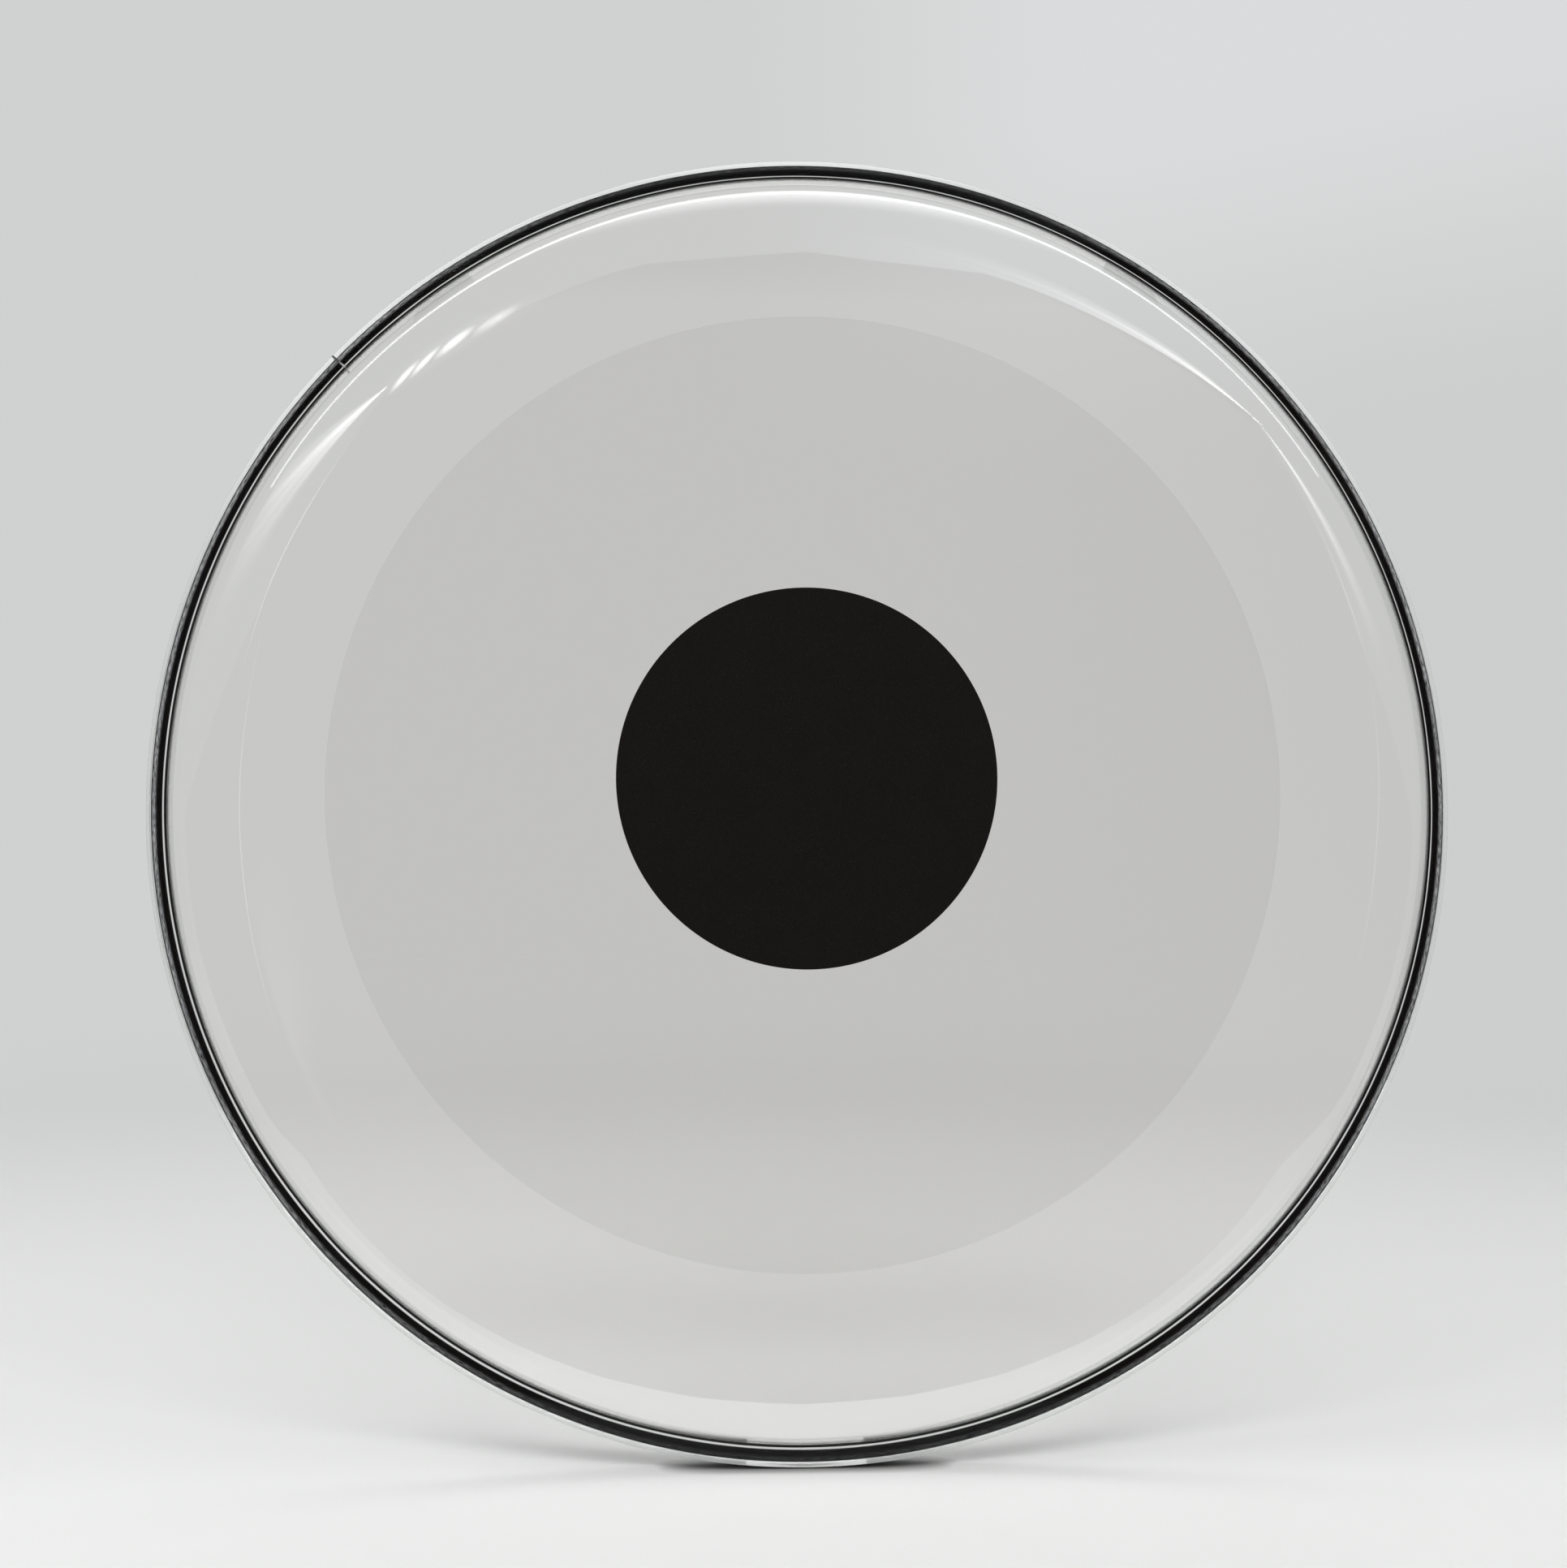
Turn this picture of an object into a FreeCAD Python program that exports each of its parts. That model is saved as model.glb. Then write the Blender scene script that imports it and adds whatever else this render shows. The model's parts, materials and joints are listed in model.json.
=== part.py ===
import FreeCAD, Part
import math
import os

# A clear drum head that stands on its rim: a formed film hooked round a clear hoop with a black core,
# a second film disc behind the playing face and a black dot in front of it.
# Millimetres. The head's axis is Y and the playing face looks along -Y. +Z is up.
# The origin is on the axis, in the hoop's middle plane, inside the wall that slips over a drum shell.
# A section is drawn as a radius and a distance forward of that plane.

# Seat for the drum shell
SEAT_RADIUS = 178.0
SEAT_LENGTH = 2.7

# Formed film
FILM_THICKNESS = 0.25
WALL_BEND = 9.0
WALL_LEAN = 48.0
WALL_LENGTH = 4.3
EDGE_BEND = 4.0
EDGE_TILT = 9.0
ROLL_BEND = 100.0
HEM_LENGTH = 1.8

# Clear hoop jacket and its core
JACKET_WIDTH = 5.2
JACKET_HEIGHT = 5.6
BACK_CORNER = 0.6
FRONT_CORNER = 0.3
CORE_DIAMETER = 3.0
CORE_COVER = 0.25
JOINT_GAP = 0.5
JOINT_ANGLE = 138.4

# Bead that bonds the film to the hoop, in the groove between them
BOND_DEPTH = 0.2
BOND_HEIGHT = 0.7

# Layers on the playing face
DISC_MARGIN = 22.2
DISC_THICKNESS = 0.25
DISC_ADHESIVE = 0.1
DOT_RADIUS = 52.7
DOT_THICKNESS = 0.25
DOT_ADHESIVE = 0.1

# Clearances
SEAT_CLEARANCE = 0.25
HEM_CLEARANCE = 0.05
CORE_CLEARANCE = 0.05
BOND_CLEARANCE = 0.05

# Places that follow from the sizes above
HOOP_FRONT = JACKET_HEIGHT / 2
HOOP_INNER = SEAT_RADIUS + FILM_THICKNESS + SEAT_CLEARANCE
HOOP_MIDDLE = HOOP_INNER + JACKET_WIDTH / 2
HOOP_OUTER = HOOP_INNER + JACKET_WIDTH
SEAT_BACK = HOOP_FRONT - JACKET_HEIGHT + BACK_CORNER
CORE_FORWARD = HOOP_FRONT - CORE_COVER - CORE_DIAMETER / 2

CENTRE = FreeCAD.Vector(0, 0, 0)
FRONT = FreeCAD.Vector(0, -1, 0)


def place(radius, forward):
    """Point of a section, given by its radius and its distance forward."""
    return FreeCAD.Vector(radius, -forward, 0)


def heading_vector(heading):
    """Unit step in a section for a heading in degrees: 0 is outward, 90 is forward."""
    angle = math.radians(heading)
    return place(math.cos(angle), math.sin(angle))


def face_of(edges):
    """Flat face inside a closed run of edges."""
    return Part.Face(Part.Wire(Part.__sortEdges__(edges)))


def line(start, end):
    return Part.LineSegment(start, end).toShape()


def arc(centre, radius, heading_from, heading_to):
    """Arc about a centre between two headings."""
    points = [centre + heading_vector(heading) * radius
              for heading in (heading_from, (heading_from + heading_to) / 2, heading_to)]
    return Part.Arc(*points).toShape()


class FilmLine:
    """Middle line of a film in section, drawn as straight runs and bends, with both of its faces."""

    def __init__(self, start, heading, thickness):
        self.at = start
        self.heading = heading
        self.half = thickness / 2
        self.edges = [line(self.side(-1), self.side(1))]

    def side(self, sign):
        """Point on the film's left (1) or right (-1) face beside the middle line."""
        return self.at + heading_vector(self.heading + 90) * (sign * self.half)

    def run(self, length):
        before = [self.side(sign) for sign in (1, -1)]
        self.at = self.at + heading_vector(self.heading) * length
        self.edges += [line(*ends) for ends in zip(before, [self.side(1), self.side(-1)])]

    def bend(self, radius, turn):
        """Bend by a turn in degrees, positive to the left."""
        sign = math.copysign(1, turn)
        centre = self.at + heading_vector(self.heading + 90) * (sign * radius)
        start = self.heading - 90 * sign
        for face in (1, -1):
            self.edges.append(arc(centre, radius - sign * face * self.half, start, start + turn))
        self.at = centre + heading_vector(start + turn) * radius
        self.heading += turn

    def section(self):
        """Closed face between the film's two faces."""
        return face_of(self.edges + [line(self.side(-1), self.side(1))])


def turned(section):
    """Full turn of a section about the head's axis."""
    return section.revolve(CENTRE, FRONT, 360)


def turned_between(section, angle_from, angle_to):
    """Part turn of a section, between two angles counter-clockwise from +X as seen from the front."""
    start = section.copy()
    start.rotate(CENTRE, FRONT, angle_from)
    return start.revolve(CENTRE, FRONT, angle_to - angle_from)


def film_rim():
    """Film from its hem on the hoop's outside, behind the hoop, up the shell seat and in to the flat face."""
    outside = HOOP_OUTER + HEM_CLEARANCE + FILM_THICKNESS / 2
    corner = BACK_CORNER + HEM_CLEARANCE + FILM_THICKNESS / 2
    film = FilmLine(place(outside, SEAT_BACK + HEM_LENGTH), -90, FILM_THICKNESS)
    film.run(HEM_LENGTH)
    film.bend(corner, -90)
    film.run(outside - SEAT_RADIUS - FILM_THICKNESS / 2 - 2 * corner)
    film.bend(corner, -90)
    film.run(SEAT_LENGTH)
    film.bend(WALL_BEND, WALL_LEAN)
    film.run(WALL_LENGTH)
    film.bend(EDGE_BEND, 90 - WALL_LEAN - EDGE_TILT)
    film.bend(ROLL_BEND, EDGE_TILT)
    return film


def jacket_outline():
    """Rounded rectangle of the hoop in section."""
    back = HOOP_FRONT - JACKET_HEIGHT
    back_left, back_right = HOOP_INNER + BACK_CORNER, HOOP_OUTER - BACK_CORNER
    front_left, front_right = HOOP_INNER + FRONT_CORNER, HOOP_OUTER - FRONT_CORNER
    low, high = back + BACK_CORNER, HOOP_FRONT - FRONT_CORNER
    edges = [
        line(place(back_left, back), place(back_right, back)),
        arc(place(back_right, low), BACK_CORNER, -90, 0),
        line(place(HOOP_OUTER, low), place(HOOP_OUTER, high)),
        arc(place(front_right, high), FRONT_CORNER, 0, 90),
        line(place(front_right, HOOP_FRONT), place(front_left, HOOP_FRONT)),
        arc(place(front_left, high), FRONT_CORNER, 90, 180),
        line(place(HOOP_INNER, high), place(HOOP_INNER, low)),
        arc(place(back_left, low), BACK_CORNER, 180, 270),
    ]
    return face_of(edges)


def core_section(radius):
    """Round section about the core's middle line."""
    circle = Part.Circle(place(HOOP_MIDDLE, CORE_FORWARD), FreeCAD.Vector(0, 0, 1), radius)
    return Part.Face(Part.Wire(circle.toShape()))


def joint_angles():
    """Angles of the two cut ends of the hoop."""
    half = math.degrees(JOINT_GAP / HOOP_MIDDLE) / 2
    return JOINT_ANGLE - half, JOINT_ANGLE + half


def hoop_jacket():
    """Clear extruded bar, bent to a ring, with a bore for the core."""
    section = jacket_outline().cut(core_section(CORE_DIAMETER / 2 + CORE_CLEARANCE)).Faces[0]
    end, start = joint_angles()
    return turned_between(section, start, end + 360)


def hoop_core():
    """Black rod in the jacket, cut at the same place."""
    end, start = joint_angles()
    return turned_between(core_section(CORE_DIAMETER / 2), start, end + 360)


def hoop_joint():
    """Filled butt joint between the hoop's ends."""
    return turned_between(jacket_outline(), *joint_angles())


def collar_radius(forward):
    """Radius of the film's outer face beside the hoop, on the seat's wall or on the bend after it."""
    past_seat = max(0.0, forward - SEAT_BACK - SEAT_LENGTH)
    bend = WALL_BEND - FILM_THICKNESS / 2
    return SEAT_RADIUS + FILM_THICKNESS - bend + math.sqrt(bend ** 2 - past_seat ** 2)


def film_bond():
    """Bead between the film and the hoop's inner wall, just behind the hoop's front."""
    front = HOOP_FRONT - BOND_DEPTH
    back = front - BOND_HEIGHT
    outer = HOOP_INNER - BOND_CLEARANCE
    corners = [
        place(outer, back),
        place(outer, front),
        place(collar_radius(front) + BOND_CLEARANCE, front),
        place(collar_radius(back) + BOND_CLEARANCE, back),
    ]
    return turned(face_of([line(*ends) for ends in zip(corners, corners[1:] + corners[:1])]))


def layer(radius, back, thickness):
    """Round flat layer that starts at a distance forward and grows towards the front."""
    return Part.makeCylinder(radius, thickness, place(0, back), FRONT)


def head():
    """All pieces of the drum head, by name."""
    film = film_rim()
    disc_radius = film.at.x - DISC_MARGIN
    face_front = -film.at.y + FILM_THICKNESS / 2
    disc_front = face_front - FILM_THICKNESS - DISC_ADHESIVE
    film.run(film.at.x)
    return {
        "batter_film": turned(film.section()),
        "film_bond": film_bond(),
        "hoop_jacket": hoop_jacket(),
        "hoop_core": hoop_core(),
        "hoop_joint": hoop_joint(),
        "damping_disc": layer(disc_radius, disc_front - DISC_THICKNESS, DISC_THICKNESS),
        "damping_disc_adhesive": layer(disc_radius, disc_front, DISC_ADHESIVE),
        "centre_dot": layer(DOT_RADIUS, face_front + DOT_ADHESIVE, DOT_THICKNESS),
        "centre_dot_adhesive": layer(DOT_RADIUS, face_front, DOT_ADHESIVE),
    }


os.makedirs("parts", exist_ok=True)
for name, piece in head().items():
    solid = piece if piece.ShapeType == "Solid" else piece.Solids[0]
    solid.exportStep("parts/" + name + ".step")
    print(f"{name}: valid {solid.isValid()}, volume {solid.Volume:.2f} mm3")
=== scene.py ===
"""Dresses a clear drum head in its finishes, piece by piece, and stands it in a small studio.

Metres. The head's axis is Y, its playing face looks along -Y and +Z is up.
A section is a list of (radius, forward) points, where forward is measured from the hoop's middle plane.
Angles round the head run counter-clockwise from +X, as seen from the front.
"""

import json
import math

import bmesh
import bpy
from bpy.props import FloatProperty, FloatVectorProperty, IntProperty, PointerProperty
from mathutils import Matrix, Vector, noise


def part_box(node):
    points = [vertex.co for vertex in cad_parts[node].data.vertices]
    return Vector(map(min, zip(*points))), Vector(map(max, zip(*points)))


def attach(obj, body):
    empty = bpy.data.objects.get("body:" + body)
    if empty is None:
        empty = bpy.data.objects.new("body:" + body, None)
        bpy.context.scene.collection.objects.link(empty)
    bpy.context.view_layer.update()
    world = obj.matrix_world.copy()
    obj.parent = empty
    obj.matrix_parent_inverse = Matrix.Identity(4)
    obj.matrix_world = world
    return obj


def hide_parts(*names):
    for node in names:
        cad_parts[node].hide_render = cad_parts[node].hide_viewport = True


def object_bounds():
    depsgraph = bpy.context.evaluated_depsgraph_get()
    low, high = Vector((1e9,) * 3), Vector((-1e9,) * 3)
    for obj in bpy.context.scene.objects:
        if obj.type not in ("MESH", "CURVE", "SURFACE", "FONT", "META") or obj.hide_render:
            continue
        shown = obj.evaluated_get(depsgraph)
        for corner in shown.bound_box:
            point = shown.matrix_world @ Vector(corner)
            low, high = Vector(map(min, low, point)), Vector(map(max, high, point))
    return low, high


bl_info = {
    "name": "Drum head",
    "version": (1, 0, 0),
    "blender": (4, 5, 0),
    "location": "3D View > Sidebar > Drum head",
    "description": "Builds the pieces of a clear drum head round its frame, and a studio to show it in",
    "category": "Add Mesh",
}

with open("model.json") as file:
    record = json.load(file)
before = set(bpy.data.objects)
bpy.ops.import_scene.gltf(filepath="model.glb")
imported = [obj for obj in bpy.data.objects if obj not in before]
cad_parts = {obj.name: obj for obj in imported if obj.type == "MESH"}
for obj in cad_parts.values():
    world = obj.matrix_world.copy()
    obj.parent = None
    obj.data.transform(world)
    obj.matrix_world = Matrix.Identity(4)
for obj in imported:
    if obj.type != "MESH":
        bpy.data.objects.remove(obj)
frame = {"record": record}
CAD_LOW, CAD_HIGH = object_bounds()
BODY = "root"
FULL_TURN = 2 * math.pi
MM = 0.001


def node_radius(node):
    """Outer radius of a CAD node about the head's axis."""
    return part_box(node)[1].x


def node_front(node):
    """How far a CAD node reaches forward of the hoop's middle plane."""
    return -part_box(node)[0].y


def node_back(node):
    """Where a CAD node ends behind, as a distance forward of the hoop's middle plane."""
    return -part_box(node)[1].y


def mount_radius(name):
    """Radius of one of the part's round mounts."""
    mount = next(each for each in frame["record"]["mounts"] if each["name"] == name)
    return mount["dims"]["r_mm"] * MM


FLOOR_LEVEL = CAD_LOW.z
SEAT_RADIUS = mount_radius("shell_seat")
CORE_RADIUS = (node_front("hoop_core") - node_back("hoop_core")) / 2
CORE_FORWARD = (node_front("hoop_core") + node_back("hoop_core")) / 2
CORE_MIDDLE = node_radius("hoop_core") - CORE_RADIUS
HOOP_OUTER = node_radius("hoop_jacket")
HOOP_INNER = 2 * CORE_MIDDLE - HOOP_OUTER
HOOP_FRONT = node_front("hoop_jacket")
HOOP_BACK = node_back("hoop_jacket")
BOND_FRONT = node_front("film_bond")
BOND_BACK = node_back("film_bond")
FACE_FRONT = node_front("batter_film")
DISC_RADIUS = node_radius("damping_disc")
DISC_BACK = node_back("damping_disc")
DOT_RADIUS = node_radius("centre_dot")
DOT_FRONT = node_front("centre_dot")
# Where the film's waves start, are full and fade, and how many waves there are round the head
RIPPLE_START = 0.86 * SEAT_RADIUS
RIPPLE_FULL = 0.93 * SEAT_RADIUS
RIPPLE_FADE = 0.96 * SEAT_RADIUS
RIPPLE_WAVES = 26
BOND_WAVES = 110
BOND_SWELLS = 6
# Where the noise round the head is taken: the film, the bead and the hoop's wall have their own waves
RIPPLE_SEED = 3.1
SWELL_SEED = 2.3
BOND_SEED = 7.7
WALL_SEED = 1.9
# Width over which a finish changes at the hoop's walls, and the clear hoop's index of refraction
HOOK_FADE = 0.3 * MM
HOOP_INDEX = 1.45
# Angle from which an edge is sharp, and radius below which a point lies on the axis
SHARP_ANGLE = math.radians(50)
ON_AXIS = 1e-6
# Floor close under the head, where a shadow is painted: how near it must be to be shaded, how deep that
# shade is and its darkest share
CONTACT_REACH = 0.0045
CONTACT_DEPTH = 1.5
CONTACT_SHADE = 0.02
# Wall of the sweep, which glows: where it gets a painted shade darker to the right, and painted lighter to
# the right and up
WALL_SHADE = (0.2, 0.8)
LIGHT_ACROSS = (-0.1, 0.45)
LIGHT_UP = (0.45, 0.95)


def length_property(name, description, default):
    return FloatProperty(name=name, description=description, default=default, min=0.0,
                         precision=5, subtype="DISTANCE", unit="LENGTH")


def angle_property(name, description, default):
    return FloatProperty(name=name, description=description, default=math.radians(default),
                         subtype="ANGLE", unit="ROTATION")


def colour_property(name, description, default):
    return FloatVectorProperty(name=name, description=description, default=default, size=3,
                               min=0.0, max=1.0, subtype="COLOR")


def share_property(name, description, default):
    return FloatProperty(name=name, description=description, default=default, min=0.0, max=1.0,
                         precision=4, subtype="FACTOR")


def power_property(name, description, default):
    return FloatProperty(name=name, description=description, default=default, min=0.0,
                         subtype="POWER", unit="POWER")


def glow_property(name, description, default):
    return FloatProperty(name=name, description=description, default=default, min=0.0)


class HeadSizes(bpy.types.PropertyGroup):
    """Sizes of the head that the frame's boxes don't give."""
    film_thickness: length_property("Film thickness", "Thickness of the formed film", 0.25 * MM)
    hem_clearance: length_property("Hem clearance", "Gap between the hem and the hoop", 0.05 * MM)
    hem_length: length_property("Hem length", "Straight part of the hem outside the hoop", 1.8 * MM)
    seat_length: length_property("Seat length", "Straight wall that slips over the shell", 2.7 * MM)
    wall_bend: length_property("Wall bend", "Bend radius where the collar leaves the seat", 9 * MM)
    wall_lean: angle_property("Wall lean", "Lean of the collar away from the axis", 48)
    wall_length: length_property("Wall length", "Straight slope of the collar", 4.3 * MM)
    edge_bend: length_property("Edge bend", "Bend radius at the top of the collar", 4 * MM)
    edge_tilt: angle_property("Edge tilt", "Slope where the rolled edge starts", 9)
    roll_bend: length_property("Roll bend", "Radius of the rolled edge", 100 * MM)
    ripple: length_property("Film ripple", "Height of the film's waves near the collar", 0.05 * MM)
    back_corner: length_property("Back corner", "Rounding of the hoop's back edges", 0.6 * MM)
    front_corner: length_property("Front corner", "Rounding of the hoop's front edges", 0.3 * MM)
    wall_wave: length_property("Wall wave", "Waves of the hoop's inner wall", 0.05 * MM)
    joint_gap: length_property("Joint gap", "Width of the joint between the hoop's ends", 0.5 * MM)
    joint_angle: angle_property("Joint angle", "Place of the hoop's joint", 138.4)
    bond_clearance: length_property("Bond clearance", "Gap on either side of the bead", 0.05 * MM)
    bond_wave: length_property("Bond wave", "Uneven back edge of the bead", 0.6 * MM)
    layer_gap: length_property("Layer gap", "Sheen gap between the film and the layers on it", 0.02 * MM)
    layer_edge: length_property("Layer edge", "Rounding of the layers' cut edges", 0.06 * MM)
    turn_steps: IntProperty(name="Turn steps", description="Facets round the head", default=480, min=48)


class HeadFinish(bpy.types.PropertyGroup):
    """Colours and gloss of the head's pieces."""
    film_tint: colour_property("Film tint", "What a face of the film lets through", (0.981, 0.979, 0.975))
    film_mirror: share_property("Film mirror", "Light that a face of the film throws back", 0.067)
    disc_tint: colour_property("Disc tint", "What a face of the disc lets through", (0.977, 0.982, 0.98))
    disc_mirror: share_property("Disc mirror", "Light that a face of the disc throws back", 0.045)
    hoop_tint: colour_property("Hoop tint", "Colour of the clear hoop", (0.985, 0.99, 0.99))
    hoop_mirror: share_property("Hoop mirror", "How much of its gloss the hoop's outside keeps", 0.2)
    hoop_scatter: share_property("Hoop scatter", "How milky the hoop's scuffed outside is", 0.5)
    # At the head's sides the outside is less milky: painted shade for the weaker light there
    side_shade_scatter: share_property("Side scatter", "How milky the hoop's outside is at the head's sides", 0.1)
    hoop_shadow: share_property("Hoop shadow", "Lamp light that passes a wall of the clear hoop", 0.45)
    core_colour: colour_property("Core colour", "Colour of the rod in the hoop", (0.003, 0.0028, 0.0028))
    # Painted highlight: a lighter band on the rod's outer half, strongest at the head's sides, in place of
    # the side lamps' reflection
    painted_highlight_colour: colour_property("Streak colour", "Colour of the rod's silvery streak", (0.8, 0.8, 0.82))
    dot_colour: colour_property("Dot colour", "Colour of the centre dot", (0.001, 0.001, 0.0011))
    bond_colour: colour_property("Bond colour", "Colour of the bead between film and hoop",
                                 (0.004, 0.004, 0.004))
    # Milky colour of the joint, which on its inner side is also a painted glint
    joint_colour: colour_property("Joint colour", "Colour of the hoop's joint", (0.7, 0.7, 0.71))


class StudioSettings(bpy.types.PropertyGroup):
    """Floor, wall, dim room, lamps and glows of the studio."""
    floor_colour: colour_property("Floor colour", "Colour of the floor", (0.8, 0.805, 0.8))
    wall_colour: colour_property("Wall colour", "Colour of the sweep behind the head", (0.63, 0.64, 0.635))
    # Painted pool of light high on the right of the glowing wall
    wall_light: colour_property("Wall light", "Colour of the sweep high on the right", (0.7, 0.715, 0.72))
    floor_near: length_property("Floor near", "Where the floor starts to take the wall's colour", 0.25)
    floor_far: length_property("Floor far", "Where the floor has the wall's colour", 1.2)
    floor_radius: length_property("Floor radius", "Flat part of the floor", 0.9)
    sweep_radius: length_property("Sweep radius", "Curve between the floor and the wall", 0.6)
    wall_height: length_property("Wall height", "Height of the sweep's wall", 2.0)
    room_colour: colour_property("Room colour", "Colour of the dim room before the head", (0.51, 0.42, 0.4))
    ceiling_colour: colour_property("Ceiling colour", "Colour of the ceiling", (0.8, 0.8, 0.8))
    shine_power: power_property("Shine lamp", "Power of the long lamp that shines in the film", 9.0)
    front_power: power_property("Front lamp", "Power of the lamp above the front", 9.4)
    left_power: power_property("Left lamp", "Power of the lamp on the left", 4.0)
    right_power: power_property("Right lamp", "Power of the lamp on the right", 2.5)
    back_power: power_property("Back lamp", "Power of the lamp above the back", 2.5)
    spot_glow: glow_property("Spot glow", "Brightness of the spots round the room's cloth", 6.0)
    foot_glow: glow_property("Foot glow", "Brightness of the floor at the head's foot", 0.9)
    fan_glow: glow_property("Fan glow", "Brightness of the fans beside the room's cloth", 15.0)


def sizes():
    return bpy.context.scene.drum_head_sizes


def finish():
    return bpy.context.scene.drum_head_finish


def studio():
    return bpy.context.scene.drum_head_studio


def turned_point(radius, forward, angle):
    """Place of a section point after a turn about the head's axis."""
    return Vector((radius * math.cos(angle), -forward, radius * math.sin(angle)))


def arc_points(centre, radius, start, end, steps):
    """Points of an arc in a section, between two headings in degrees."""
    headings = [math.radians(start + (end - start) * i / steps) for i in range(steps + 1)]
    return [(centre[0] + radius * math.cos(a), centre[1] + radius * math.sin(a)) for a in headings]


def rounded_box(inner, outer, back, front, back_corner, front_corner, steps=10):
    """Rounded rectangle in a section, from its outer back corner round to its inner one."""
    corners = [(outer, back, back_corner, -90), (outer, front, front_corner, 0),
               (inner, front, front_corner, 90), (inner, back, back_corner, 180)]
    points = []
    for radius, forward, corner, start in corners:
        centre = (radius + (corner if radius == inner else -corner),
                  forward + (corner if forward == back else -corner))
        points += arc_points(centre, corner, start, start + 90, steps)
    return points


class FilmLine:
    """Middle line of the film in section, walked as straight runs and bends."""
    BEND_STEP = math.radians(2.5)

    def __init__(self, radius, forward, heading):
        self.at = Vector((radius, forward))
        self.heading = math.radians(heading)
        self.stops = []
        self.mark()

    def mark(self):
        self.stops.append((self.at.copy(), self.heading))

    def step(self, length):
        self.at = self.at + length * Vector((math.cos(self.heading), math.sin(self.heading)))

    def run(self, length):
        self.step(length)
        self.mark()

    def bend(self, radius, turn, fewest=4):
        """Bend to the left by a positive turn, to the right by a negative one, in short chords."""
        count = max(fewest, math.ceil(abs(turn) / self.BEND_STEP))
        chord = 2 * radius * math.sin(abs(turn) / count / 2)
        for _ in range(count):
            self.heading += turn / count / 2
            self.step(chord)
            self.heading += turn / count / 2
            self.mark()

    def section(self, thickness):
        """Closed section of the film about its middle line."""
        sides = []
        for sign in (1, -1):
            offset = sign * thickness / 2
            sides.append([(max(0.0, p.x - offset * math.sin(h)), p.y + offset * math.cos(h))
                          for p, h in self.stops])
        return sides[0] + sides[1][::-1]


def film_section(size):
    """Film from its hem, behind the hoop, up the shell seat and over the collar to the axis."""
    reach = size.hem_clearance + size.film_thickness / 2
    corner = size.back_corner + reach
    quarter = math.radians(90)
    line = FilmLine(HOOP_OUTER + reach, HOOP_BACK + size.back_corner + size.hem_length, -90)
    line.run(size.hem_length)
    line.bend(corner, -quarter)
    line.run(HOOP_OUTER + reach - SEAT_RADIUS - size.film_thickness / 2 - 2 * corner)
    line.bend(corner, -quarter)
    line.run(size.seat_length)
    line.bend(size.wall_bend, size.wall_lean)
    line.run(size.wall_length)
    line.bend(size.edge_bend, quarter - size.wall_lean - size.edge_tilt, fewest=16)
    line.bend(size.roll_bend, size.edge_tilt, fewest=24)
    line.run(line.at.x)
    return line.section(size.film_thickness)


def counter_clockwise(section):
    """The section's points in counter-clockwise order, so that its faces look outward."""
    area = sum(a[0] * b[1] - b[0] * a[1] for a, b in zip(section, section[1:] + section[:1]))
    return section if area > 0 else section[::-1]


def turned_piece(name, section, material, start=0.0, end=FULL_TURN, steps=None, shift=None):
    """Closed mesh made by turning a section about the head's axis, with lengths in its UV map.

    shift(angle, radius, forward) may move a point of the section by (radius, forward).
    """
    section = counter_clockwise(section)
    closed = math.isclose(end - start, FULL_TURN)
    steps = steps or sizes().turn_steps
    turns = [start + (end - start) * i / steps for i in range(steps + 1)]
    mesh_builder = bmesh.new()
    lengthwise = mesh_builder.loops.layers.uv.new("lengthwise")
    along = [0.0]
    for a, b in zip(section, section[1:] + section[:1]):
        along.append(along[-1] + math.dist(a, b))
    poles = {}
    rings = []
    for turn in turns[:-1] if closed else turns:
        ring = []
        for index, (radius, forward) in enumerate(section):
            if radius < ON_AXIS:
                if index not in poles:
                    poles[index] = mesh_builder.verts.new(turned_point(0, forward, 0))
                ring.append(poles[index])
                continue
            moved = shift(turn, radius, forward) if shift else (0.0, 0.0)
            place = turned_point(radius + moved[0], forward + moved[1], turn)
            ring.append(mesh_builder.verts.new(place))
        rings.append(ring)
    if closed:
        rings.append(rings[0])
    count = len(section)
    reach = max(radius for radius, _ in section)
    for j in range(steps):
        for i in range(count):
            k = (i + 1) % count
            corners = [(rings[j][i], turns[j], i), (rings[j + 1][i], turns[j + 1], i),
                       (rings[j + 1][k], turns[j + 1], i + 1), (rings[j][k], turns[j], i + 1)]
            unlike = []
            for corner in corners:
                if all(corner[0] is not other[0] for other in unlike):
                    unlike.append(corner)
            if len(unlike) < 3:
                continue
            face = mesh_builder.faces.new([vert for vert, _, _ in unlike])
            for loop, (_, turn, stop) in zip(face.loops, unlike):
                loop[lengthwise].uv = (turn * reach, along[stop])
    if not closed:
        mesh_builder.faces.new(rings[0])
        mesh_builder.faces.new(rings[-1][::-1])
    return finished_piece(name, mesh_builder, material)


def finished_piece(name, mesh_builder, material):
    """Object of a built mesh, smooth but for its sharp edges."""
    mesh = bpy.data.meshes.new(name)
    mesh_builder.to_mesh(mesh)
    mesh_builder.free()
    mesh.shade_smooth()
    mesh.set_sharp_from_angle(angle=SHARP_ANGLE)
    mesh.materials.append(material)
    piece = bpy.data.objects.new(name, mesh)
    bpy.context.scene.collection.objects.link(piece)
    return piece


def place_piece(piece, slot, *nodes):
    """Puts a piece on the head's body, in the place of CAD nodes."""
    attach(piece, BODY)
    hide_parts(*nodes)


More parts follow.
